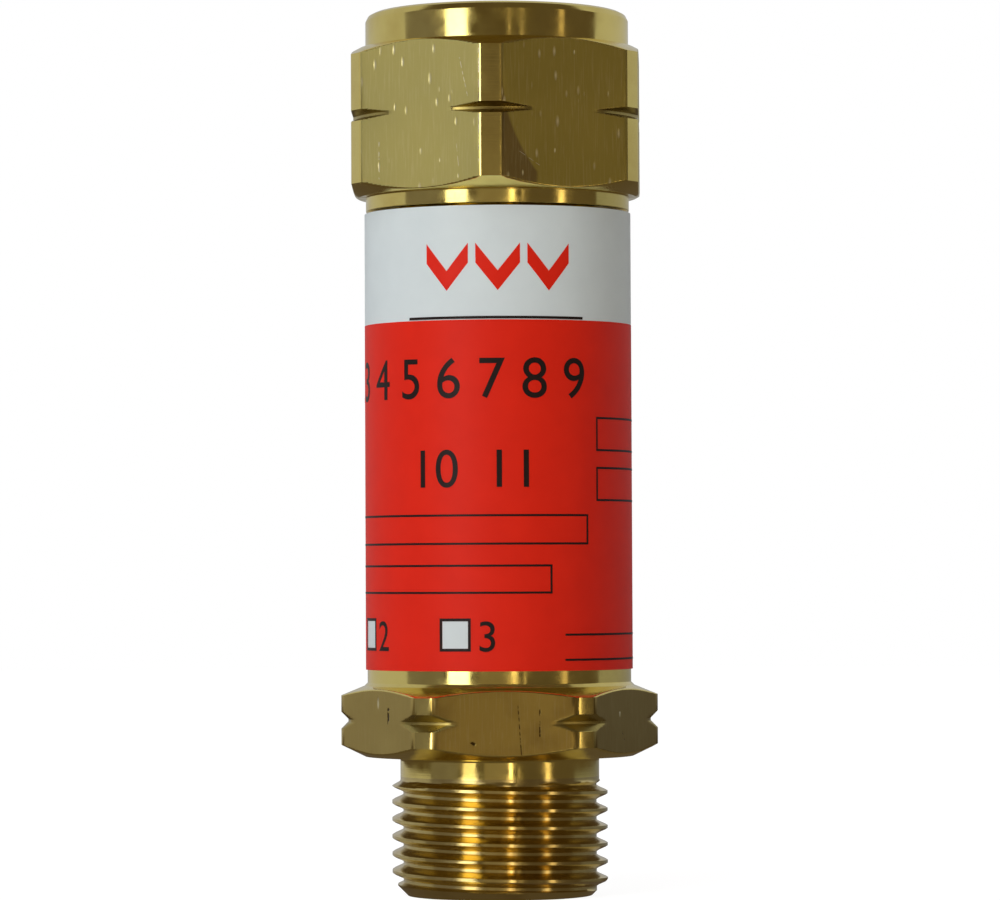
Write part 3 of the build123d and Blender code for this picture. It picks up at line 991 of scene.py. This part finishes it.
def wrapPrint(name, parts, inner, outer):
    # Flat prints cut in strips, made as thick as the film or the ink, and bent round the tube
    sheet = bmesh.new()
    for mesh in parts:
        sheet.from_mesh(mesh)
        bpy.data.meshes.remove(mesh)
    bmesh.ops.remove_doubles(sheet, verts=sheet.verts, dist=label["merge"])
    half = 180 * arcPerDegree
    for i in range(int(2 * half / label["strip"]) + 1):
        every = sheet.verts[:] + sheet.edges[:] + sheet.faces[:]
        across = -half + i * label["strip"]
        bmesh.ops.bisect_plane(
            sheet, geom=every, dist=label["merge"] / 10, plane_co=(across, 0, 0), plane_no=(1, 0, 0),
        )
    bmesh.ops.triangulate(sheet, faces=sheet.faces)
    bmesh.ops.dissolve_degenerate(sheet, dist=label["merge"], edges=sheet.edges)
    raised = bmesh.ops.extrude_face_region(sheet, geom=sheet.faces[:], use_keep_orig=True)["geom"]
    top = {v for v in raised if isinstance(v, bmesh.types.BMVert)}
    for v in sheet.verts:
        azimuth = v.co.x / arcPerDegree
        v.co = onCircle(azimuth, (outer if v in top else inner) * mm, v.co.y * mm)
    bmesh.ops.recalc_face_normals(sheet, faces=sheet.faces)
    mesh = bpy.data.meshes.new(name)
    sheet.to_mesh(mesh)
    sheet.free()
    for polygon in mesh.polygons:
        polygon.use_smooth = True
    mesh.set_sharp_from_angle(angle=math.radians(weld["smallSharp"]))
    return mesh


def chevronOutline(azimuth):
    # Points down the way the gas goes
    middle = azimuth * arcPerDegree
    low = label["chevronLevel"]
    left = middle - label["chevronHalf"]
    right = middle + label["chevronHalf"]
    top = low + label["chevronHeight"]
    arm = low + label["chevronDrop"]
    return [
        (left, top), (middle, low + label["chevronRise"]), (right, top),
        (right, arm), (middle, low), (left, arm),
    ]


def makeLabel():
    # The film, the red ink with clear tick boxes, and the black ink, each on top of the one before
    edge = 180 - label["gap"] / 2
    film = [flatPrint([rectangle(-edge, edge, label["bottom"], label["top"])])]
    mesh = wrapPrint("labelFilm", film, label["filmRadius"], label["redRadius"])
    piece = makeObject("labelWhiteFilm", mesh, [whiteFilm])
    fit(piece, "housing_body", "label_film")

    half = label["boxSize"] / 2 / arcPerDegree
    bottom = label["boxLevel"]
    boxes = [
        frameOutlines(azimuth - half, azimuth + half, bottom, bottom + label["boxSize"], label["boxLine"])
        for azimuth in label["boxes"]
    ]
    ground = [rectangle(-edge, edge, label["bottom"], label["redTop"])]
    ground += [inner for outer, inner in boxes]
    red = [flatPrint(ground)] + [flatPrint([chevronOutline(a)]) for a in label["chevrons"]]
    mesh = wrapPrint("labelRed", red, label["redRadius"], label["blackRadius"])
    piece = makeObject("labelRedInk", mesh, [redInk])
    fit(piece, "housing_body", "label_red_field")

    left, right, low, high = label["underline"]
    black = [flatPrint([rectangle(left, right, label["redTop"] + low, label["redTop"] + high)])]
    black += [flatPrint(box) for box in boxes]
    for first, height, level, azimuths in numberRows:
        for i, azimuth in enumerate(azimuths):
            black.append(flatText(str(first + i), height, azimuth, level))
    for i, azimuth in enumerate(label["boxes"]):
        place = azimuth + label["boxNumberTurn"]
        black.append(flatText(str(i + 1), label["boxNumberHeight"], place, label["boxLevel"]))
    for field in fields:
        black.append(flatPrint(frameOutlines(*field, label["line"])))
    for left, right, level in rules:
        black.append(flatPrint([rectangle(left, right, level, level + label["line"])]))
    mesh = wrapPrint("labelBlack", black, label["blackRadius"], label["topRadius"])
    piece = makeObject("labelBlackInk", mesh, [blackInk])
    fit(piece, "housing_body", "label_black_marks")


makeLabel()

print("inner pieces")
# Pieces that are seen from above or below get a smooth copy. The others keep their own mesh.
smoothPieces = {
    "inlet_nipple": turnedBrass,
    "nose_o_ring": nitrile,
    "inlet_strainer": springSteel,
    "strainer_ring": springSteel,
    "nut_retaining_ring": springSteel,
    "arrestor_carrier": turnedBrass,
}
plainPieces = {
    "nipple_o_ring": nitrile,
    "valve_carrier": turnedBrass,
    "valve_plate": turnedBrass,
    "valve_seal": nitrile,
    "cutoff_piston": turnedBrass,
    "cutoff_o_ring": nitrile,
    "cutoff_spring": springSteel,
    "fusible_ring": solder,
    "flame_arrestor": sinter,
    "arrestor_gasket_upper": fibre,
    "arrestor_gasket_lower": fibre,
}


def smoothCopy(node, material):
    # The node's own mesh with its seams closed, in the node's place
    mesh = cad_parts[node].data.copy()
    mesh.materials.clear()
    closeMesh(mesh, weld["smallSharp"])
    piece = makeObject(node + "_smooth", mesh, [material])
    fit(piece, "housing_body", node)
    return piece


def makeInnerPieces():
    for node, material in smoothPieces.items():
        smoothCopy(node, material)
    coil = smoothCopy("valve_spring", springSteel)
    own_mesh(coil)
    for node, material in plainPieces.items():
        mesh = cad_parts[node].data
        for i in range(len(mesh.materials)):
            mesh.materials[i] = material


makeInnerPieces()
